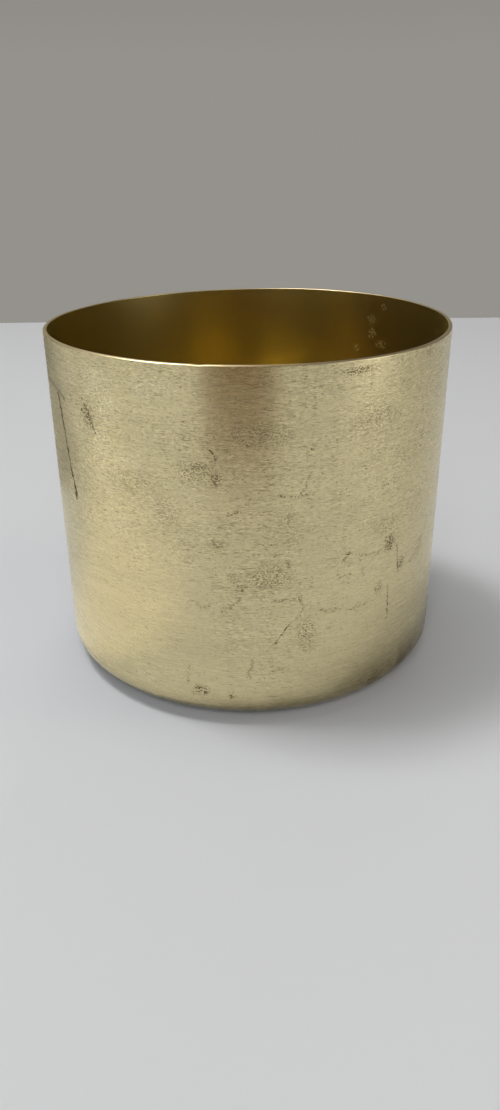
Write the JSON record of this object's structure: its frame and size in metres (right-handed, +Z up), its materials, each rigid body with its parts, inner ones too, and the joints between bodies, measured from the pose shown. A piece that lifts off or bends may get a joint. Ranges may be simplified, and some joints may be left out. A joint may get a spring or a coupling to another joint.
{
  "type": "pen holder cup",
  "caption": "Round straight-sided brass pen cup with a thin drawn wall, a rounded base corner, an open top and a felt disc stuck under its flat base.",
  "frame": {"origin": "on the cup's axis, in the surface that the felt disc stands on", "axes": "+Z up along the cup's axis of revolution, towards its open rim; +X and +Y are any two directions across it"},
  "size_m": [0.0888, 0.0888, 0.0774],
  "materials": {
    "brass": "satin, fine brush lines running round the cup, unlacquered and lightly tarnished",
    "felt": "pressed felt, dark grey, matte",
    "adhesive": "thin film of clear pressure-sensitive adhesive"
  },
  "bodies": {
    "root": {"cup_body": "brass", "base_pad": "felt", "pad_adhesive": "adhesive"}
  },
  "joints": []
}
